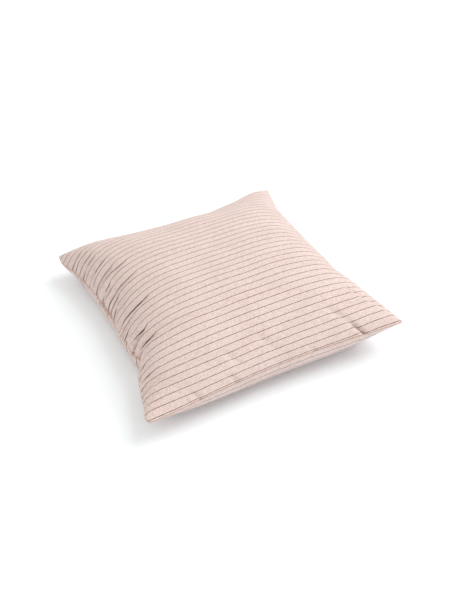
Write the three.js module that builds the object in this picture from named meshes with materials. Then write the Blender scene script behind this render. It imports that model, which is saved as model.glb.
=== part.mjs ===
// A filled cushion in a sewn cover, lying on its back.
// A top panel and a bottom panel meet in a knife-edge seam that runs through four lifted corners.
// X runs along the stripes of the cloth, Y across them and Z up. The underside rests at z = 0, and
// the origin is under the middle of the cushion.
import * as THREE from 'three';

// Driving dimensions, in millimetres and degrees
const coverLength = 500; // the flat cover along its stripes, X
const coverDepth = 600; // the flat cover across its stripes, Y
const crownRise = 89; // top of the filling above the line of the seam
const crownAlong = 15; // the crown's place on the cloth, from the middle of the top panel
const crownAcross = 38;
const seamCurve = 1.31; // how early a seam turns in from its corners
const restShare = 0.85; // fullness past which the underside lies flat
const sideBulge = 9; // swell of the bottom panel beyond the left seam
const frontBulge = 13; // the same at the front seam
const farBulgeShare = 0.6; // share of that swell at the right and back seams
const foldRipe = 0.65; // part of a fold's run by which it is at its deepest
const foldLip = 0.45; // how far the cloth stands up beside a fold
const stepsAlong = 44; // cells of each panel
const stepsAcross = 52;
const rimDensity = 0.4; // how far the cells crowd towards the seam, 0 for even cells
const cushionColor = 0xe8d3cb;

// Each side's section from the crown: its slope where it meets the seam, and how late the slope grows
const sideSlopes = {
  left: { slope: 75, growth: 3.8 },
  right: { slope: 50, growth: 2.28 },
  front: { slope: 68, growth: 1.67 },
  back: { slope: 25, growth: 2 },
};

// The four sewn corners: offset from the corner of the shortened panels, height, and how far the
// fullness reaches towards the corner
const cornerSpots = {
  backLeft: { outX: 1, outY: 1, height: 46, squareness: 2.37 },
  backRight: { outX: 19, outY: 25, height: 58, squareness: 2.2 },
  frontRight: { outX: -1, outY: 3, height: 60, squareness: 1.38 },
  frontLeft: { outX: 20, outY: 26, height: 44, squareness: 1.21 },
};

// How far each seam is drawn in at its middle, its height there, and how it leans to one corner
const seams = {
  left: { drawnIn: 35.5, height: 41, lean: -0.06 },
  right: { drawnIn: 24.5, height: 57, lean: 0.13 },
  front: { drawnIn: 15, height: 52, lean: 0.16 },
  back: { drawnIn: 13.5, height: 38, lean: 0.48 },
};

// Where the filling stands out from, or falls short of, the even form: a place on the cloth from the
// middle of the panel, the swelling's width, its push, and the share of it in each panel
const swellings = [
  { along: -190, across: 240, width: 45, pushX: 0, pushY: 0, pushZ: 2, top: 1, bottom: 1 },
  { along: -60, across: 190, width: 45, pushX: 0, pushY: 0, pushZ: -2, top: 1, bottom: 0 },
  { along: 10, across: 185, width: 40, pushX: 0, pushY: 0, pushZ: 4, top: 1, bottom: 0 },
  { along: 95, across: 205, width: 40, pushX: 0, pushY: 0, pushZ: -5, top: 1, bottom: 0 },
  { along: 195, across: 265, width: 35, pushX: 0, pushY: 0, pushZ: 5, top: 1, bottom: 1 },
  { along: 245, across: 200, width: 55, pushX: -5, pushY: 0, pushZ: 0, top: 1, bottom: 1 },
  { along: 250, across: -90, width: 35, pushX: -3, pushY: 0, pushZ: 0, top: 1, bottom: 1 },
  { along: 222, across: -105, width: 35, pushX: 0, pushY: 0, pushZ: -4, top: 1, bottom: 0 },
  { along: -250, across: 270, width: 30, pushX: -6, pushY: 0, pushZ: -1, top: 1, bottom: 1 },
  { along: -250, across: -20, width: 40, pushX: -5, pushY: 0, pushZ: 0, top: 1, bottom: 1 },
  { along: -250, across: -128, width: 22, pushX: 11, pushY: 0, pushZ: 0, top: 1, bottom: 1 },
  { along: -250, across: -220, width: 45, pushX: -4, pushY: 0, pushZ: 0, top: 1, bottom: 1 },
  { along: -250, across: -290, width: 20, pushX: -4, pushY: 0, pushZ: 0, top: 1, bottom: 1 },
  { along: -240, across: 65, width: 35, pushX: -5, pushY: 0, pushZ: 0, top: 0, bottom: 1 },
];

// Main folds of the top panel, as soft troughs between two places on the cloth: each bows to one side,
// and keeps its end depth where it stops
const folds = [
  { along: -190, across: 178, toAlong: -250, toAcross: 180, bow: 0, width: 10, depth: 3, endDepth: 2 },
  { along: -180, across: 138, toAlong: -250, toAcross: 104, bow: -13, width: 10, depth: 5, endDepth: 3 },
  { along: -175, across: 50, toAlong: -250, toAcross: 58, bow: 0, width: 10, depth: 4, endDepth: 2 },
  { along: -165, across: -22, toAlong: -250, toAcross: -30, bow: 0, width: 10, depth: 5, endDepth: 3 },
  { along: -205, across: -60, toAlong: -253, toAcross: -134, bow: -6, width: 10, depth: 9, endDepth: 7 },
  { along: -186, across: -106, toAlong: -240, toAcross: -128, bow: 0, width: 9, depth: 4, endDepth: 3 },
  { along: 118, across: -210, toAlong: 180, toAcross: -300, bow: -4, width: 11, depth: 4, endDepth: 4 },
  { along: 172, across: -160, toAlong: 240, toAcross: -266, bow: -3, width: 10, depth: 3, endDepth: 1 },
  { along: -22, across: -210, toAlong: 0, toAcross: -260, bow: 0, width: 11, depth: 4, endDepth: 2 },
  { along: -86, across: -222, toAlong: -67, toAcross: -262, bow: 0, width: 11, depth: 3, endDepth: 2 },
  { along: -94, across: -270, toAlong: -82, toAcross: -300, bow: 0, width: 10, depth: 3, endDepth: 3 },
];

// One side's section, from the crown to the seam: the slope grows as a power of the way along the
// cloth. It gives the level reach and the height left at each way, each as a share.
function halfSection({ slope, growth }) {
  const steps = 200;
  const reach = [0];
  const drop = [0];
  for (let i = 1; i <= steps; i += 1) {
    const angle = THREE.MathUtils.degToRad(slope) * ((i - 0.5) / steps) ** growth;
    reach.push(reach[i - 1] + Math.cos(angle) / steps);
    drop.push(drop[i - 1] + Math.sin(angle) / steps);
  }
  const sample = (list, way) => {
    const place = THREE.MathUtils.clamp(way, 0, 1) * steps;
    const low = Math.min(Math.floor(place), steps - 1);
    return THREE.MathUtils.lerp(list[low], list[low + 1], place - low);
  };
  return {
    length: reach[steps],
    reachAt: (way) => sample(reach, way),
    heightAt: (way) => 1 - sample(drop, way) / drop[steps],
  };
}

// A whole section across the cushion, its crown off the middle. For a place on the cloth from -1 to 1
// it gives the level place from -1 to 1 and the height.
function wholeSection(lowSide, highSide, crown) {
  const lowReach = (1 + crown) * lowSide.length;
  const highReach = (1 - crown) * highSide.length;
  const span = lowReach + highReach;
  const at = (cloth) => {
    const low = cloth < crown;
    const side = low ? lowSide : highSide;
    const share = low ? 1 + crown : 1 - crown;
    const way = Math.abs(cloth - crown) / share;
    const level = (low ? -1 : 1) * side.reachAt(way) * share;
    return { level: ((level + lowReach) / span) * 2 - 1, height: side.heightAt(way) };
  };
  return { at, shrink: span / 2 };
}

const sectionAlong = wholeSection(
  halfSection(sideSlopes.left),
  halfSection(sideSlopes.right),
  crownAlong / (coverLength / 2),
);
const sectionAcross = wholeSection(
  halfSection(sideSlopes.front),
  halfSection(sideSlopes.back),
  crownAcross / (coverDepth / 2),
);
const halfX = (coverLength / 2) * sectionAlong.shrink;
const halfY = (coverDepth / 2) * sectionAcross.shrink;

function cornerPoint(spot, sideX, sideY) {
  return new THREE.Vector3(sideX * (halfX + spot.outX), sideY * (halfY + spot.outY), spot.height);
}

const corners = {
  backLeft: cornerPoint(cornerSpots.backLeft, -1, 1),
  backRight: cornerPoint(cornerSpots.backRight, 1, 1),
  frontRight: cornerPoint(cornerSpots.frontRight, 1, -1),
  frontLeft: cornerPoint(cornerSpots.frontLeft, -1, -1),
};

// A point of one seam, at a place from -1 to 1 between its two corners
function seamPoint(seam, from, to, inward, place) {
  const point = from.clone().lerp(to, (place + 1) / 2);
  const weight = (1 - place * place) ** seamCurve * (1 + seam.lean * place);
  const middleHeight = (from.z + to.z) / 2;
  point.addScaledVector(inward, weight * seam.drawnIn);
  point.z += weight * (seam.height - middleHeight);
  return point;
}

// Each corner's share in a level place from -1 to 1 each way
function cornerShares(levelX, levelY) {
  const u = (levelX + 1) / 2;
  const v = (levelY + 1) / 2;
  return {
    backLeft: (1 - u) * v,
    backRight: u * v,
    frontRight: u * (1 - v),
    frontLeft: (1 - u) * (1 - v),
  };
}

// The sheet spanned by the four seams
function sheetPoint(levelX, levelY) {
  const { backLeft, backRight, frontRight, frontLeft } = corners;
  const left = seamPoint(seams.left, frontLeft, backLeft, new THREE.Vector3(1, 0, 0), levelY);
  const right = seamPoint(seams.right, frontRight, backRight, new THREE.Vector3(-1, 0, 0), levelY);
  const front = seamPoint(seams.front, frontLeft, frontRight, new THREE.Vector3(0, 1, 0), levelX);
  const back = seamPoint(seams.back, backLeft, backRight, new THREE.Vector3(0, -1, 0), levelX);
  const point = left.multiplyScalar((1 - levelX) / 2)
    .addScaledVector(right, (1 + levelX) / 2)
    .addScaledVector(front, (1 - levelY) / 2)
    .addScaledVector(back, (1 + levelY) / 2);
  for (const [name, share] of Object.entries(cornerShares(levelX, levelY))) {
    point.addScaledVector(corners[name], -share);
  }
  return point;
}

// How much of the filling's height a place has, from 0 at the seam to 1 at the crown
function fullnessAt(heightAlong, heightAcross, levelX, levelY) {
  const nearlyZero = 1e-6;
  let squareness = 0;
  for (const [name, share] of Object.entries(cornerShares(levelX, levelY))) {
    squareness += cornerSpots[name].squareness * share;
  }
  const along = Math.max(heightAlong, nearlyZero) ** -squareness;
  const across = Math.max(heightAcross, nearlyZero) ** -squareness;
  return (along + across - 1) ** (-1 / squareness);
}

// Where a place on the cloth comes to lie: the sheet's point there, its level places and its fullness
function layCloth(along, across) {
  const a = sectionAlong.at(along);
  const b = sectionAcross.at(across);
  const levelX = along + (a.level - along) * b.height;
  const levelY = across + (b.level - across) * a.height;
  const fullness = fullnessAt(a.height, b.height, levelX, levelY);
  return { point: sheetPoint(levelX, levelY), levelX, levelY, fullness };
}

// The push of all swellings together on one panel, 'top' or 'bottom'
function swell(point, along, across, panel) {
  for (const row of swellings) {
    const awayAlong = (along * coverLength) / 2 - row.along;
    const awayAcross = (across * coverDepth) / 2 - row.across;
    const away = Math.hypot(awayAlong, awayAcross) / row.width;
    const share = Math.exp(-away * away) * row[panel];
    point.x += row.pushX * share;
    point.y += row.pushY * share;
    point.z += row.pushZ * share;
  }
  return point;
}

function smoothTop(along, across) {
  const { point, fullness } = layCloth(along, across);
  point.z += crownRise * fullness;
  return swell(point, along, across, 'top');
}

// Depth of all folds together at a place on the cloth
function foldDepth(along, across) {
  let total = 0;
  for (const fold of folds) {
    const run = new THREE.Vector2(fold.toAlong - fold.along, fold.toAcross - fold.across);
    const length = run.length();
    run.divideScalar(length);
    const alongFromStart = (along * coverLength) / 2 - fold.along;
    const acrossFromStart = (across * coverDepth) / 2 - fold.across;
    const fromStart = new THREE.Vector2(alongFromStart, acrossFromStart);
    const onward = fromStart.dot(run);
    const part = THREE.MathUtils.clamp(onward / length, 0, 1);
    const beside = run.cross(fromStart) - fold.bow * 4 * part * (1 - part);
    const away = Math.hypot(beside, onward - part * length) / fold.width;
    const ripening = THREE.MathUtils.smoothstep(part, 0, foldRipe);
    const fading = THREE.MathUtils.smoothstep(part, foldRipe, 1);
    const depth = fold.depth * ripening + (fold.endDepth - fold.depth) * fading;
    total += depth * Math.exp(-away * away) * (1 - foldLip * away * away);
  }
  return total;
}

// The top panel: the crown, with the folds pressed in square to the cloth
function topPoint(along, across) {
  const nudge = 0.002;
  const point = smoothTop(along, across);
  const inAlong = THREE.MathUtils.clamp(along, nudge - 1, 1 - nudge);
  const inAcross = THREE.MathUtils.clamp(across, nudge - 1, 1 - nudge);
  const stepAlong = smoothTop(inAlong + nudge, inAcross).sub(smoothTop(inAlong - nudge, inAcross));
  const stepAcross = smoothTop(inAlong, inAcross + nudge).sub(smoothTop(inAlong, inAcross - nudge));
  const outward = stepAlong.cross(stepAcross).normalize();
  return point.addScaledVector(outward, -foldDepth(along, across));
}

// The bottom panel: it swells out under the seam, then curls in and lies flat
function bottomPoint(along, across) {
  const { point, levelX, levelY, fullness } = layCloth(along, across);
  const lift = Math.max(0, 1 - fullness / restShare) ** 2;
  const swollen = Math.min(4 * fullness * (1 - fullness), 1);
  const outX = Math.sign(levelX) * Math.abs(levelX) ** 4 * (1 - levelY ** 4);
  const outY = Math.sign(levelY) * Math.abs(levelY) ** 4 * (1 - levelX ** 4);
  point.x += outX * swollen * sideBulge * (levelX < 0 ? 1 : farBulgeShare);
  point.y += outY * swollen * frontBulge * (levelY < 0 ? 1 : farBulgeShare);
  point.z *= lift;
  return swell(point, along, across, 'bottom');
}

// A place from -1 to 1 on the cloth, the cells crowded towards the seam
function clothPlace(step, steps) {
  const even = (step / steps) * 2 - 1;
  return THREE.MathUtils.lerp(even, Math.sin((even * Math.PI) / 2), rimDensity);
}

// The closed form: a grid of cells for each panel, the two grids sharing the seam's points
function cushionGeometry() {
  const positions = [];
  const triangles = [];
  const onSeam = (i, j) => i === 0 || j === 0 || i === stepsAlong || j === stepsAcross;
  const addPanel = (pointAt, seamIndex) => {
    const index = [];
    for (let i = 0; i <= stepsAlong; i += 1) {
      index.push([]);
      for (let j = 0; j <= stepsAcross; j += 1) {
        if (seamIndex && onSeam(i, j)) {
          index[i].push(seamIndex[i][j]);
        } else {
          const point = pointAt(clothPlace(i, stepsAlong), clothPlace(j, stepsAcross));
          index[i].push(positions.length / 3);
          positions.push(point.x, point.y, point.z);
        }
      }
    }
    return index;
  };
  const addCells = (index, facesUp) => {
    const addTriangle = (a, b, c) => triangles.push(...(facesUp ? [a, b, c] : [a, c, b]));
    for (let i = 0; i < stepsAlong; i += 1) {
      for (let j = 0; j < stepsAcross; j += 1) {
        const a = index[i][j];
        const b = index[i + 1][j];
        const c = index[i + 1][j + 1];
        const d = index[i][j + 1];
        const cutFromA = (i < stepsAlong / 2) === (j < stepsAcross / 2);
        if (cutFromA) {
          addTriangle(a, b, c);
          addTriangle(a, c, d);
        } else {
          addTriangle(a, b, d);
          addTriangle(b, c, d);
        }
      }
    }
  };
  const top = addPanel(topPoint, null);
  const bottom = addPanel(bottomPoint, top);
  addCells(top, true);
  addCells(bottom, false);
  const geometry = new THREE.BufferGeometry();
  geometry.setAttribute('position', new THREE.Float32BufferAttribute(positions, 3));
  geometry.setIndex(triangles);
  const middle = new THREE.Vector3();
  geometry.computeBoundingBox();
  geometry.boundingBox.getCenter(middle);
  geometry.translate(-middle.x, -middle.y, 0);
  geometry.computeVertexNormals();
  return geometry;
}

const cloth = new THREE.MeshStandardMaterial({ color: cushionColor, roughness: 0.9, metalness: 0 });
const cushion = new THREE.Mesh(cushionGeometry(), cloth);
cushion.name = 'cushion';

const group = new THREE.Group();
group.add(cushion);

export default group;
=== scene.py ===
from math import cos, pi, radians, sin
from random import Random

import bpy
import numpy as np
from mathutils import Matrix, Vector


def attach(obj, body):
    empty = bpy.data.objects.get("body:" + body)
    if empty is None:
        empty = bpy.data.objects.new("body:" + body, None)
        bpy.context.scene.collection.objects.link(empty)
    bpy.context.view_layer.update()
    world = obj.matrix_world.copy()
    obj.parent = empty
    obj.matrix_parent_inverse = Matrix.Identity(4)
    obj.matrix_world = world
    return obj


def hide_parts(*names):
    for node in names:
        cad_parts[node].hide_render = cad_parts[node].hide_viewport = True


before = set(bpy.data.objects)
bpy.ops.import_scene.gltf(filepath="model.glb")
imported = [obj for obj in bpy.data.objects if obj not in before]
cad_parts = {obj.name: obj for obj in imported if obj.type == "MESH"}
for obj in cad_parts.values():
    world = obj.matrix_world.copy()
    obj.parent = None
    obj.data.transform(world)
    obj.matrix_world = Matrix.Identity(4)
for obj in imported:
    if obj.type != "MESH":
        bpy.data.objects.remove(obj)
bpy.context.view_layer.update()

scene = bpy.context.scene
scene.view_settings.view_transform = "Standard"

# Camera
# It looks down on the cushion from beyond the front left corner, on a lens a little longer than
# normal, and it is turned slightly about its own line of sight.
camera_azimuth = radians(-23.14)
camera_elevation = radians(33.45)
camera_roll = radians(-3.53)
camera_distance = 1.800
camera_aim = Vector((0.0276, -0.0550, 0.04))
camera_lens = 57.4
camera_shift = (-0.0225, -0.0065)
bpy.ops.object.camera_add()
camera = bpy.context.object
camera.name = "camera"
tilt = radians(90) - camera_elevation
turned = Matrix.Rotation(camera_azimuth, 4, "Z") @ Matrix.Rotation(tilt, 4, "X")
turned = turned @ Matrix.Rotation(camera_roll, 4, "Z")
line_of_sight = turned.to_3x3() @ Vector((0, 0, 1))
camera.matrix_world = Matrix.Translation(camera_aim + line_of_sight * camera_distance) @ turned
camera.data.lens = camera_lens
camera.data.shift_x, camera.data.shift_y = camera_shift
camera.data.clip_end = 100
scene.camera = camera

# Floor
# A plain white sheet that the cushion lies on, far wider than the view.
floor_size = 60
floor_color = (0.910, 0.958, 0.995, 1)
floor_glow = 0.06
bpy.ops.mesh.primitive_plane_add(size=floor_size, location=(0, 0, 0))
floor = bpy.context.object
floor.name = "floor"
floor_paint = bpy.data.materials.new("floor_paint")
floor_paint.use_nodes = True
floor_shader = floor_paint.node_tree.nodes["Principled BSDF"]
floor_shader.inputs["Base Color"].default_value = floor_color
floor_shader.inputs["Roughness"].default_value = 1
floor_shader.inputs["Specular IOR Level"].default_value = 0
floor_shader.inputs["Emission Color"].default_value = (1, 1, 1, 1)
floor_shader.inputs["Emission Strength"].default_value = floor_glow
floor.data.materials.append(floor_paint)

# Light
# Even white light from all round, and one large soft lamp beyond the right seam of the cushion.
sky_strength = 0.88
sky_color = (1, 0.975, 0.935, 1)
lamp_power = 89
lamp_color = (0.96, 0.99, 1)
lamp_size = 3.0
lamp_place = Vector((2.60, -0.40, 3.00))
sky = bpy.data.worlds.new("sky")
sky.use_nodes = True
sky.node_tree.nodes["Background"].inputs["Color"].default_value = sky_color
sky.node_tree.nodes["Background"].inputs["Strength"].default_value = sky_strength
scene.world = sky
bpy.ops.object.light_add(type="AREA", location=lamp_place)
lamp = bpy.context.object
lamp.name = "lamp"
lamp.rotation_euler = lamp_place.to_track_quat("Z", "Y").to_euler()
lamp.data.size = lamp_size
lamp.data.energy = lamp_power
lamp.data.color = lamp_color

# Cushion
# Two equal rectangles of cotton, sewn round with a plain knife-edge seam and filled with soft fibre.
# The panels are laid out flat, brought to the filled form of the frame's cushion, and then settled
# as cloth, so that the spare length along the drawn-in seams puckers.
cover_length = 0.500
cover_depth = 0.600
crown_rise = 0.089
crown_along = 0.015
crown_across = 0.038
seam_curve = 1.31
rest_share = 0.85
side_bulge = 0.009
front_bulge = 0.013
far_bulge_share = 0.6
cells_along = 75
cells_across = 160
fineness = 2
rim_crowding = 0.4
cloth_sheet = 1.25
fold_ripe = 0.35
fold_lip = 0.45
fold_draw = 0.5
seam_set_in = 0.0012
settling_frames = 24

# one side's section from the crown: its slope where it meets the seam, and how late the slope grows
side_slopes = {
    "left": (75, 3.80),
    "right": (50, 2.28),
    "front": (68, 1.67),
    "back": (25, 2.00),
}

# how far each corner stands out from the shortened panels, its height, and how far the fullness
# reaches towards it
corner_spots = {
    "back_left": (0.001, 0.001, 0.046, 2.37),
    "back_right": (0.019, 0.025, 0.058, 2.20),
    "front_right": (-0.001, 0.003, 0.060, 1.38),
    "front_left": (0.020, 0.026, 0.044, 1.21),
}

# how far each seam is drawn in at its middle, its height there, and how it leans to one corner
seam_spots = {
    "left": (0.0355, 0.041, -0.06),
    "right": (0.0245, 0.057, 0.13),
    "front": (0.015, 0.052, 0.16),
    "back": (0.0135, 0.038, 0.48),
}


def half_section(side, steps=200):
    """Level reach and height left, from the crown to the seam, of one side's section."""
    slope, growth = side_slopes[side]
    angle = radians(slope) * ((np.arange(steps) + 0.5) / steps) ** growth
    way = np.linspace(0, 1, steps + 1)
    reach = np.concatenate([[0], np.cumsum(np.cos(angle)) / steps])
    drop = np.concatenate([[0], np.cumsum(np.sin(angle)) / steps])
    return way, reach, 1 - drop / drop[-1]


def whole_section(cloth, low_side, high_side, crown):
    """Level place and height for places from -1 to 1 on the cloth, and the panel's shortening."""
    way, low_reach, low_height = half_section(low_side)
    high_reach, high_height = half_section(high_side)[1:]
    low = cloth < crown
    share = np.where(low, 1 + crown, 1 - crown)
    part = np.abs(cloth - crown) / share
    reach = np.where(low, -np.interp(part, way, low_reach), np.interp(part, way, high_reach)) * share
    height = np.where(low, np.interp(part, way, low_height), np.interp(part, way, high_height))
    low_end = (1 + crown) * low_reach[-1]
    span = low_end + (1 - crown) * high_reach[-1]
    return (reach + low_end) / span * 2 - 1, height, span / 2


def seam_points(start, end, inward, seam, place):
    """Points of one seam at places from -1 to 1 between its two corners."""
    drawn_in, height, lean = seam
    part = ((place + 1) / 2)[..., None]
    points = start * (1 - part) + end * part
    weight = (1 - place ** 2) ** seam_curve * (1 + lean * place)
    points[..., :2] += weight[..., None] * np.array(inward) * drawn_in
    points[..., 2] += weight * (height - (start[2] + end[2]) / 2)
    return points


def lay_cloth(along, across):
    """The sheet spanned by the seams, the level places on it, and the fullness over it."""
    crown_x, crown_y = crown_along / (cover_length / 2), crown_across / (cover_depth / 2)
    level_x, height_x, shrink_x = whole_section(along, "left", "right", crown_x)
    level_y, height_y, shrink_y = whole_section(across, "front", "back", crown_y)
    level_x = along + (level_x - along) * height_y
    level_y = across + (level_y - across) * height_x
    half_x = cover_length / 2 * shrink_x
    half_y = cover_depth / 2 * shrink_y
    corner = {}
    for name, (out_x, out_y, height, _) in corner_spots.items():
        side_x = -1 if "left" in name else 1
        side_y = -1 if "front" in name else 1
        corner[name] = np.array((side_x * (half_x + out_x), side_y * (half_y + out_y), height))
    front_left, front_right = corner["front_left"], corner["front_right"]
    back_left, back_right = corner["back_left"], corner["back_right"]
    left = seam_points(front_left, back_left, (1, 0), seam_spots["left"], level_y)
    right = seam_points(front_right, back_right, (-1, 0), seam_spots["right"], level_y)
    front = seam_points(front_left, front_right, (0, 1), seam_spots["front"], level_x)
    back = seam_points(back_left, back_right, (0, -1), seam_spots["back"], level_x)
    u = (level_x + 1) / 2
    v = (level_y + 1) / 2
    shares = {
        "front_left": (1 - u) * (1 - v),
        "front_right": u * (1 - v),
        "back_left": (1 - u) * v,
        "back_right": u * v,
    }
    u, v = u[..., None], v[..., None]
    sheet = (1 - u) * left + u * right + (1 - v) * front + v * back
    squareness = 0
    for name, share in shares.items():
        sheet -= share[..., None] * corner[name]
        squareness = squareness + share * corner_spots[name][3]
    height_x, height_y = np.maximum(height_x, 1e-6), np.maximum(height_y, 1e-6)
    fullness = (height_x ** -squareness + height_y ** -squareness - 1) ** (-1 / squareness)
    return sheet, level_x, level_y, fullness


def top_form(along, across):
    sheet, _, _, fullness = lay_cloth(along, across)
    sheet[..., 2] += crown_rise * fullness
    return sheet


def bottom_form(along, across):
    sheet, level_x, level_y, fullness = lay_cloth(along, across)
    swell = np.minimum(4 * fullness * (1 - fullness), 1)
    out_x = np.sign(level_x) * np.abs(level_x) ** 4 * (1 - level_y ** 4)
    out_y = np.sign(level_y) * np.abs(level_y) ** 4 * (1 - level_x ** 4)
    sheet[..., 0] += out_x * swell * side_bulge * np.where(level_x < 0, 1, far_bulge_share)
    sheet[..., 1] += out_y * swell * front_bulge * np.where(level_y < 0, 1, far_bulge_share)
    sheet[..., 2] *= np.maximum(0, 1 - fullness / rest_share) ** 2
    return sheet


# where the filling stands out from, or falls short of, that even form: a place on the cloth, the
# width of the swelling, its push, and how much of it the top and the bottom panel take
swellings = (
    # along, across, width, push x, push y, push z, top, bottom
    (-0.190, 0.240, 0.045, 0, 0, 0.002, 1, 1),
    (-0.060, 0.190, 0.045, 0, 0, -0.002, 1, 0),
    (0.010, 0.185, 0.040, 0, 0, 0.004, 1, 0),
    (0.095, 0.205, 0.040, 0, 0, -0.005, 1, 0),
    (0.195, 0.265, 0.035, 0, 0, 0.005, 1, 1),
    (0.245, 0.200, 0.055, -0.005, 0, 0, 1, 1),
    (0.250, -0.090, 0.035, -0.003, 0, 0, 1, 1),
    (0.222, -0.105, 0.035, 0, 0, -0.004, 1, 0),
    (-0.250, 0.270, 0.030, -0.006, 0, -0.001, 1, 1),
    (-0.250, -0.020, 0.040, -0.005, 0, 0, 1, 1),
    (-0.250, -0.128, 0.022, 0.011, 0, 0, 1, 1),
    (-0.250, -0.220, 0.045, -0.004, 0, 0, 1, 1),
    (-0.250, -0.280, 0.022, -0.005, 0, 0, 1, 1),
    (-0.250, -0.300, 0.006, 0.002, 0.002, 0, 1, 1),
    (-0.240, 0.065, 0.035, -0.005, 0, 0, 0, 1),
)


def swell_unevenly(points, along, across, under):
    points = points.copy()
    for row_along, row_across, width, push_x, push_y, push_z, top, bottom in swellings:
        away = np.hypot(along * cover_length / 2 - row_along, across * cover_depth / 2 - row_across)
        share = np.exp(-(away / width) ** 2) * np.where(under, bottom, top)
        points += share[:, None] * np.array((push_x, push_y, push_z))
    return points


# folds pressed into the top panel: from one place on the cloth to another, how far the fold bows
# to one side between them, the width of its trough, its depth, and the depth left at its end
folds = (
    # along, across, to along, to across, bow, width, depth, end depth
    # gathers that run in from the left seam
    (-0.215, 0.229, -0.250, 0.229, 0, 0.0050, 0.0025, 0.0020),
    (-0.195, 0.197, -0.250, 0.197, 0, 0.0050, 0.0030, 0.0020),
    (-0.200, 0.181, -0.250, 0.179, 0, 0.0050, 0.0035, 0.0025),
    (-0.180, 0.149, -0.250, 0.151, 0, 0.0050, 0.0035, 0.0020),
    (-0.184, 0.117, -0.250, 0.117, 0.002, 0.0048, 0.0070, 0.0035),
    (-0.158, 0.101, -0.226, 0.099, 0, 0.0048, 0.0040, 0.0010),
    (-0.205, 0.085, -0.250, 0.082, 0, 0.0050, 0.0030, 0.0030),
    (-0.156, 0.053, -0.250, 0.053, 0.001, 0.0048, 0.0055, 0.0010),
    (-0.208, 0.037, -0.250, 0.037, 0, 0.0045, 0.0035, 0.0020),
    (-0.226, 0.021, -0.250, 0.021, 0, 0.0045, 0.0040, 0.0035),
    (-0.160, -0.027, -0.250, -0.025, 0.001, 0.0048, 0.0072, 0.0030),
    (-0.210, -0.044, -0.250, -0.046, 0, 0.0050, 0.0030, 0.0030),
    (-0.222, -0.060, -0.250, -0.064, 0, 0.0050, 0.0035, 0.0030),
    # the deep fold, and the branch that joins it
    (-0.192, -0.090, -0.253, -0.100, -0.001, 0.0050, 0.0125, 0.0090),
    (-0.180, -0.1235, -0.248, -0.120, 0.001, 0.0048, 0.0080, 0.0050),
    # soft hollows towards the front left corner
    (-0.205, -0.172, -0.246, -0.190, 0, 0.0110, 0.0012, 0.0010),
    (-0.200, -0.225, -0.244, -0.232, 0, 0.0100, 0.0020, 0.0020),
    # the trough that parts the filling from the front right corner, and the crease that ends it
    (0.112, -0.200, 0.174, -0.300, 0, 0.0080, 0.0030, 0.0040),
    (0.152, -0.262, 0.174, -0.300, 0, 0.0062, 0.0045, 0.0055),
    # the ridge along the right seam, and the hollow behind it
    (0.160, -0.160, 0.231, -0.272, -0.003, 0.0060, -0.0012, -0.0008),
    (0.172, -0.160, 0.240, -0.266, -0.003, 0.0070, 0.0026, 0.0012),
    # short hollows along the front
    (-0.022, -0.210, 0.000, -0.260, 0, 0.0095, 0.0036, 0.0015),
    (-0.086, -0.222, -0.067, -0.262, 0, 0.0085, 0.0028, 0.0015),
    (-0.094, -0.270, -0.082, -0.300, 0, 0.0070, 0.0030, 0.0025),
    (-0.166, -0.276, -0.152, -0.300, 0, 0.0070, 0.0030, 0.0025),
    (0.060, -0.276, 0.074, -0.300, 0, 0.0070, 0.0015, 0.0020),
)


def fold_cloth(along, across, rows):
    """Depth of folds at places on the cloth, and how far their troughs draw the cloth in sideways."""
    x, y = along * cover_length / 2, across * cover_depth / 2
    total = np.zeros(len(x))
    draw_x, draw_y = np.zeros(len(x)), np.zeros(len(x))
    for start_x, start_y, end_x, end_y, bow, width, deepest, end_depth in rows:
        length = np.hypot(end_x - start_x, end_y - start_y)
        run_x, run_y = (end_x - start_x) / length, (end_y - start_y) / length
        onward = (x - start_x) * run_x + (y - start_y) * run_y
        part = np.clip(onward / length, 0, 1)
        beside = (y - start_y) * run_x - (x - start_x) * run_y - bow * 4 * part * (1 - part)
        away = np.hypot(beside, onward - part * length) / width
        rising = np.clip(part / fold_ripe, 0, 1)
        fading = np.clip((part - fold_ripe) / (1 - fold_ripe), 0, 1)
        depth = deepest * rising ** 2 * (3 - 2 * rising)
        depth += (end_depth - deepest) * fading ** 2 * (3 - 2 * fading)
        total += depth * np.exp(-away ** 2) * (1 - fold_lip * away ** 2)
        draw = -fold_draw * beside * np.exp(-(away / 2) ** 2) * np.minimum(1, depth / width)
        draw_x -= draw * run_y
        draw_y += draw * run_x
    return total, draw_x, draw_y


# small puckers that each seam draws in both panels, unevenly spaced
puckers = {
    # seam: pitch, longest run, width, greatest depth
    "left": (0.0095, 0.050, 0.0028, 0.0030),
    "right": (0.0240, 0.045, 0.0045, 0.0020),
    "front": (0.0260, 0.022, 0.0045, 0.0010),
    "back": (0.0260, 0.040, 0.0045, 0.0018),
}
pucker_reach = 0.9
pucker_end_share = 0.8
pucker_seed = 5

# least and greatest share of each of those that one pucker gets, and its lean as a share of its run
pucker_spread = {
    "run": (0.35, 1),
    "lean": (-0.25, 0.25),
    "depth": (0.3, 1),
    "width": (0.8, 1.3),
    "pitch": (0.6, 1.4),
}


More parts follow.
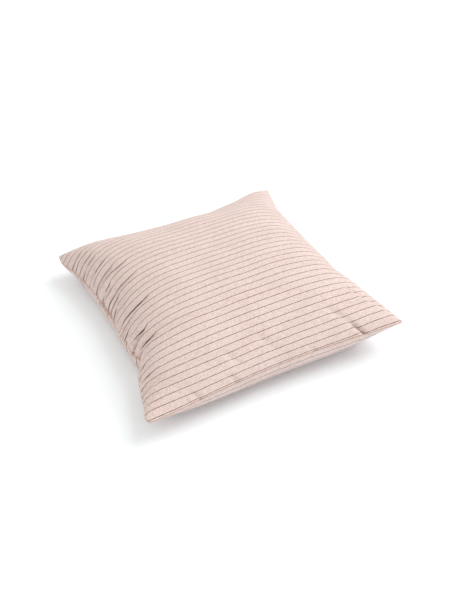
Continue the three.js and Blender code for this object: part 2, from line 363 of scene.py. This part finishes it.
def pucker_rows(chance):
    rows = []
    for seam, (pitch, longest, width, deepest) in puckers.items():
        upright = seam in ("left", "right")
        edge, half = cover_length / 2, cover_depth / 2
        if not upright:
            edge, half = half, edge
        outer = -edge if seam in ("left", "front") else edge
        place = -half * pucker_reach
        while place < half * pucker_reach:
            run = longest * chance.uniform(*pucker_spread["run"])
            lean = run * chance.uniform(*pucker_spread["lean"])
            depth = deepest * chance.uniform(*pucker_spread["depth"]) * (1 - (place / half) ** 4)
            inner = outer * (1 - run / edge)
            ends = (place + lean, inner, place, outer)
            if upright:
                ends = (inner, place + lean, outer, place)
            row_width = width * chance.uniform(*pucker_spread["width"])
            rows.append((*ends, 0, row_width, depth, depth * pucker_end_share))
            place += pitch * chance.uniform(*pucker_spread["pitch"])
    return rows


# low waves in the filling
unevenness = 0.0003
wave_length = (0.05, 0.12)
wave_count = 12
wave_gain = 1.4
wave_seed = 3


def uneven_height(along, across, chance):
    x, y = along * cover_length / 2, across * cover_depth / 2
    height = 0
    for _ in range(wave_count):
        way = chance.uniform(0, 2 * pi)
        turns = 2 * pi / chance.uniform(*wave_length)
        height = height + np.cos((x * cos(way) + y * sin(way)) * turns + chance.uniform(0, 2 * pi))
    return height * unevenness / wave_count ** 0.5 * wave_gain


# the flat grids before they are shaped: the gap between them, and how near doubles lie
grid_gap = 0.01
merge_distance = 1e-4


def sewn_panels(name, cells_x, cells_y):
    """Two square grids, one turned over just under the other, merged along their rim."""
    bpy.ops.object.select_all(action="DESELECT")
    bpy.ops.mesh.primitive_grid_add(x_subdivisions=cells_x, y_subdivisions=cells_y, size=2)
    panels = bpy.context.object
    panels.name = name
    bpy.ops.object.mode_set(mode="EDIT")
    bpy.ops.mesh.select_all(action="SELECT")
    bpy.ops.mesh.duplicate()
    bpy.ops.mesh.flip_normals()
    bpy.ops.object.mode_set(mode="OBJECT")
    grid = np.zeros((len(panels.data.vertices), 3))
    panels.data.vertices.foreach_get("co", grid.ravel())
    lower = np.arange(len(grid)) >= len(grid) // 2
    inside = np.abs(grid[:, :2]).max(1) < 1 - merge_distance
    grid[lower & inside, 2] = -grid_gap
    panels.data.vertices.foreach_set("co", grid.ravel())
    bpy.ops.object.mode_set(mode="EDIT")
    bpy.ops.mesh.select_all(action="SELECT")
    bpy.ops.mesh.remove_doubles(threshold=merge_distance)
    bpy.ops.object.mode_set(mode="OBJECT")
    grid = np.zeros((len(panels.data.vertices), 3))
    panels.data.vertices.foreach_get("co", grid.ravel())
    return panels, grid


def crowd_to_rim(place):
    return place + (np.sin(place * np.pi / 2) - place) * rim_crowding


def vertex_normals(mesh, points):
    mesh.vertices.foreach_set("co", points.ravel())
    mesh.update()
    normals = np.zeros((len(points), 3))
    mesh.vertex_normals.foreach_get("vector", normals.ravel())
    return normals


def filled_form(along, across, under, draw_x=0, draw_y=0):
    drawn_along = np.clip(along + draw_x / (cover_length / 2), -1, 1)
    drawn_across = np.clip(across + draw_y / (cover_depth / 2), -1, 1)
    drawn_along = np.where(np.abs(along) > 1 - 1e-6, along, drawn_along)
    drawn_across = np.where(np.abs(across) > 1 - 1e-6, across, drawn_across)
    top = top_form(drawn_along, drawn_across)
    bottom = bottom_form(drawn_along, drawn_across)
    form = np.where(under[:, None], bottom, top)
    form = swell_unevenly(form, drawn_along, drawn_across, under)
    rise = uneven_height(drawn_along, drawn_across, Random(wave_seed))
    form[:, 2] += np.where(under, 0, rise * lay_cloth(along, across)[3])
    return form


# the cloth settles on a coarser copy first, and only the way that it moves is kept; the filling holds
# it where it is full, and hardly at the seams
cut_gap_share = 0.05
least_hold = 0.05
filling_hold = 0.3
motion = None
trial, grid = sewn_panels("settling_cushion", cells_along, cells_across)
along, across = crowd_to_rim(grid[:, 0]), grid[:, 1]
under = grid[:, 2] < -grid_gap / 2
start = filled_form(along, across, under)
trial.data.vertices.foreach_set("co", start.ravel())
trial.shape_key_add(name="filled")
cut = trial.shape_key_add(name="cut")
flat = np.stack([along * cover_length / 2, across * cover_depth / 2, grid[:, 2] * cut_gap_share], 1)
cut.data.foreach_set("co", flat.ravel())
cut.value = 0
fullness = lay_cloth(along, across)[3]
held = trial.vertex_groups.new(name="held")
for index, full in enumerate(fullness):
    filled = min(max(full * 1.5 - 0.5, 0), 1)
    held.add([index], least_hold + filling_hold * filled, "REPLACE")
cloth = trial.modifiers.new("cloth", "CLOTH")
cloth.settings.quality = 6
cloth.settings.mass = 0.15
cloth.settings.tension_stiffness = 40
cloth.settings.compression_stiffness = 40
cloth.settings.shear_stiffness = 10
cloth.settings.bending_stiffness = 0.05
cloth.settings.tension_damping = 10
cloth.settings.compression_damping = 10
cloth.settings.shear_damping = 5
cloth.settings.bending_damping = 0.5
cloth.settings.air_damping = 2
cloth.settings.rest_shape_key = cut
cloth.settings.vertex_group_mass = "held"
cloth.settings.pin_stiffness = 5
cloth.settings.use_pressure = True
cloth.settings.uniform_pressure_force = 1
cloth.settings.effector_weights.gravity = 0
cloth.collision_settings.use_collision = False
cloth.point_cache.frame_end = settling_frames
for step in range(1, settling_frames + 1):
    scene.frame_set(step)
settled_mesh = trial.evaluated_get(bpy.context.evaluated_depsgraph_get()).data
settled = np.zeros((len(settled_mesh.vertices), 3))
settled_mesh.vertices.foreach_get("co", settled.ravel())
moved = settled - start
step_x = np.rint((grid[:, 0] + 1) / 2 * cells_along).astype(int)
step_y = np.rint((grid[:, 1] + 1) / 2 * cells_across).astype(int)
at_rim = np.abs(grid[:, :2]).max(1) > 1 - merge_distance
motion = np.zeros((2, cells_along + 1, cells_across + 1, 3))
for panel in (0, 1):
    chosen = at_rim | (under == panel)
    motion[panel, step_x[chosen], step_y[chosen]] = moved[chosen]
bpy.data.objects.remove(trial)


def carried_motion(grid, under):
    """The settled cloth's motion at the finer grid's points, between those of the coarse one."""
    place_x, place_y = (grid[:, 0] + 1) / 2 * cells_along, (grid[:, 1] + 1) / 2 * cells_across
    low_x = np.minimum(place_x.astype(int), cells_along - 1)
    low_y = np.minimum(place_y.astype(int), cells_across - 1)
    part_x, part_y = (place_x - low_x)[:, None], (place_y - low_y)[:, None]
    panel = under.astype(int)
    near = motion[panel, low_x, low_y] * (1 - part_x) + motion[panel, low_x + 1, low_y] * part_x
    far = motion[panel, low_x, low_y + 1] * (1 - part_x) + motion[panel, low_x + 1, low_y + 1] * part_x
    return near * (1 - part_y) + far * part_y


cushion, grid = sewn_panels("striped_cushion", cells_along * fineness, cells_across * fineness)
mesh = cushion.data
along, across = crowd_to_rim(grid[:, 0]), grid[:, 1]
under = grid[:, 2] < -grid_gap / 2
at_rim = np.abs(grid[:, :2]).max(1) > 1 - merge_distance
chance = Random(pucker_seed)
top_rows = folds + tuple(pucker_rows(chance))
under_rows = pucker_rows(chance)
top_depth, top_draw_x, top_draw_y = fold_cloth(along, across, top_rows)
under_depth, under_draw_x, under_draw_y = fold_cloth(along, across, under_rows)
draw_x, draw_y = np.where(under, under_draw_x, top_draw_x), np.where(under, under_draw_y, top_draw_y)
even = filled_form(along, across, under)
outward = vertex_normals(mesh, even)
placed = filled_form(along, across, under, draw_x, draw_y)
if motion is not None:
    placed += carried_motion(grid, under)
placed -= outward * np.where(under, under_depth, top_depth)[:, None]
placed -= outward * np.where(at_rim, seam_set_in, 0)[:, None]
middle = (placed.max(0) + placed.min(0)) / 2
placed[:, :2] -= middle[:2]
mesh.vertices.foreach_set("co", placed.ravel())
mesh.update()
bpy.ops.object.shade_smooth()

# each panel keeps its own place on the flat cloth in the map, the bottom one beside the top one
loop_vertex = np.zeros(len(mesh.loops), dtype=int)
mesh.loops.foreach_get("vertex_index", loop_vertex)
loop_face = np.repeat(np.arange(len(mesh.polygons)), 4)
face_under = under[loop_vertex].reshape(-1, 4).any(1)
cloth_place = np.stack([(along + 1) / 2 * cover_length, (across + 1) / 2 * cover_depth], 1)
map_points = cloth_place[loop_vertex]
map_points[face_under[loop_face], 1] += cover_depth
mesh.uv_layers.active.data.foreach_set("uv", (map_points / cloth_sheet).ravel())

# Cloth of the cover
# Plain-weave cotton in pale pink with a fine dark plum yarn woven in at an even pitch. The yarns are
# slightly slubby and grainy, so that the pink is mottled, and shade along the sewn rim is painted
# into the colour as a brown line.
stripe_pitch = 0.016
stripe_width = 0.00115
stripe_blur = 0.0003
stripe_waver = 0.0006
first_stripe = 0.2
weave_pitch = 0.0007
slub_length = 0.009
slub_width = 0.0020
slub_contrast = 0.5
grain_size = 0.0016
grain_contrast = 0.5
cloud_size = 0.05
cloud_contrast = 0.12
# the width and strength of the painted shade along the sewn rim
rim_shade_width = 0.0018
rim_shade = 0.75
slub_relief = 4.0
relief_strength = 0.5
relief_depth = 0.0001
pink = (0.812, 0.668, 0.634, 1)
deep_pink = (0.624, 0.480, 0.442, 1)
plum = (0.09, 0.045, 0.045, 1)
# the colour of the painted shade along the sewn rim
painted_rim_shade_color = (0.50, 0.27, 0.19, 1)
cotton = bpy.data.materials.new("pinstripe_cotton")
cotton.use_nodes = True
nodes, links = cotton.node_tree.nodes, cotton.node_tree.links
shader = nodes["Principled BSDF"]
shader.inputs["Roughness"].default_value = 0.85
shader.inputs["Specular IOR Level"].default_value = 0.2
shader.inputs["Sheen Weight"].default_value = 0.2
shader.inputs["Sheen Roughness"].default_value = 0.5


def join_up(socket, value):
    if isinstance(value, bpy.types.NodeSocket):
        links.new(value, socket)
    else:
        socket.default_value = value


def calculate(operation, first, second=0.0):
    node = nodes.new("ShaderNodeMath")
    node.operation = operation
    join_up(node.inputs[0], first)
    join_up(node.inputs[1], second)
    return node.outputs[0]


def fade(value, start, end, at_start=0.0, at_end=1.0):
    node = nodes.new("ShaderNodeMapRange")
    node.interpolation_type = "SMOOTHSTEP"
    join_up(node.inputs["Value"], value)
    node.inputs["From Min"].default_value = start
    node.inputs["From Max"].default_value = end
    node.inputs["To Min"].default_value = at_start
    node.inputs["To Max"].default_value = at_end
    return node.outputs["Result"]


def dye(share, under_color, over_color):
    node = nodes.new("ShaderNodeMix")
    node.data_type = "RGBA"
    join_up(node.inputs["Factor"], share)
    join_up(node.inputs["A"], under_color)
    join_up(node.inputs["B"], over_color)
    return node.outputs["Result"]


def mottle(size_x, size_y, detail, offset=0.0):
    """Noise from 0 to 1 on the cloth, in patches of the given size."""
    spread = nodes.new("ShaderNodeCombineXYZ")
    links.new(calculate("DIVIDE", cloth_x, size_x), spread.inputs["X"])
    links.new(calculate("DIVIDE", cloth_y, size_y), spread.inputs["Y"])
    spread.inputs["Z"].default_value = offset
    noise = nodes.new("ShaderNodeTexNoise")
    noise.inputs["Scale"].default_value = 1
    noise.inputs["Detail"].default_value = detail
    links.new(spread.outputs[0], noise.inputs["Vector"])
    return noise.outputs["Fac"]


# the map in metres on the flat cloth, counted in each panel from its front left corner
cloth_map = nodes.new("ShaderNodeUVMap")
cloth_map.uv_map = mesh.uv_layers.active.name
split = nodes.new("ShaderNodeSeparateXYZ")
links.new(cloth_map.outputs[0], split.inputs[0])
cloth_x = calculate("MULTIPLY", split.outputs["X"], cloth_sheet)
cloth_y = calculate("MULTIPLY", split.outputs["Y"], cloth_sheet)
panel_y = calculate("MODULO", cloth_y, cover_depth)

# warp and weft slubs, and larger clouds
warp_slubs = mottle(slub_width, slub_length, 2)
weft_slubs = mottle(slub_length, slub_width, 2, 7.0)
slubs = calculate("MULTIPLY", calculate("ADD", warp_slubs, weft_slubs), 0.5)
clouds = mottle(cloud_size, cloud_size, 3, 3.0)
slub_share = fade(slubs, 0.5 - slub_contrast * 0.3, 0.5 + slub_contrast * 0.3)
cloud_share = fade(clouds, 0.3, 0.7, -cloud_contrast, cloud_contrast)
grain = mottle(grain_size, grain_size, 0, 11.0)
grain_share = fade(grain, 0.3, 0.7, -grain_contrast, grain_contrast)
ground_share = calculate("ADD", calculate("ADD", slub_share, cloud_share), grain_share)
ground = dye(ground_share, deep_pink, pink)

# the stripes, a little uneven at their edges, counted from the back seam; whole pitches are added so
# that the count stays above zero on the bottom panel too
whole_pitches = 100
from_back = calculate("SUBTRACT", cover_depth, cloth_y)
pitches = calculate("DIVIDE", from_back, stripe_pitch)
beside = calculate("FRACT", calculate("ADD", pitches, whole_pitches + 0.5 - first_stripe))
off_stripe = calculate("ABSOLUTE", calculate("SUBTRACT", beside, 0.5))
off_stripe = calculate("MULTIPLY", off_stripe, stripe_pitch)
waver = calculate("MULTIPLY", calculate("SUBTRACT", weft_slubs, 0.5), stripe_waver)
off_stripe = calculate("ADD", off_stripe, waver)
stripe = fade(off_stripe, stripe_width / 2 - stripe_blur / 2, stripe_width / 2 + stripe_blur / 2, 1, 0)
striped = dye(stripe, ground, plum)

# painted shade along the line where the panels meet, darkening and browning the colour there
in_x = calculate("MINIMUM", cloth_x, calculate("SUBTRACT", cover_length, cloth_x))
in_y = calculate("MINIMUM", panel_y, calculate("SUBTRACT", cover_depth, panel_y))
rim = fade(calculate("MINIMUM", in_x, in_y), 0, rim_shade_width, rim_shade, 0)
links.new(dye(rim, striped, painted_rim_shade_color), shader.inputs["Base Color"])

# the threads themselves and their slubs, in relief
threads_x = calculate("SINE", calculate("MULTIPLY", cloth_x, 2 * pi / weave_pitch))
threads_y = calculate("SINE", calculate("MULTIPLY", cloth_y, 2 * pi / weave_pitch))
threads = calculate("MULTIPLY", threads_x, threads_y)
relief = calculate("ADD", threads, calculate("MULTIPLY", slubs, slub_relief))
weave = nodes.new("ShaderNodeBump")
weave.inputs["Strength"].default_value = relief_strength
weave.inputs["Distance"].default_value = relief_depth
links.new(relief, weave.inputs["Height"])
links.new(weave.outputs["Normal"], shader.inputs["Normal"])
mesh.materials.clear()
mesh.materials.append(cotton)

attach(cushion, "root")
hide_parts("cushion")
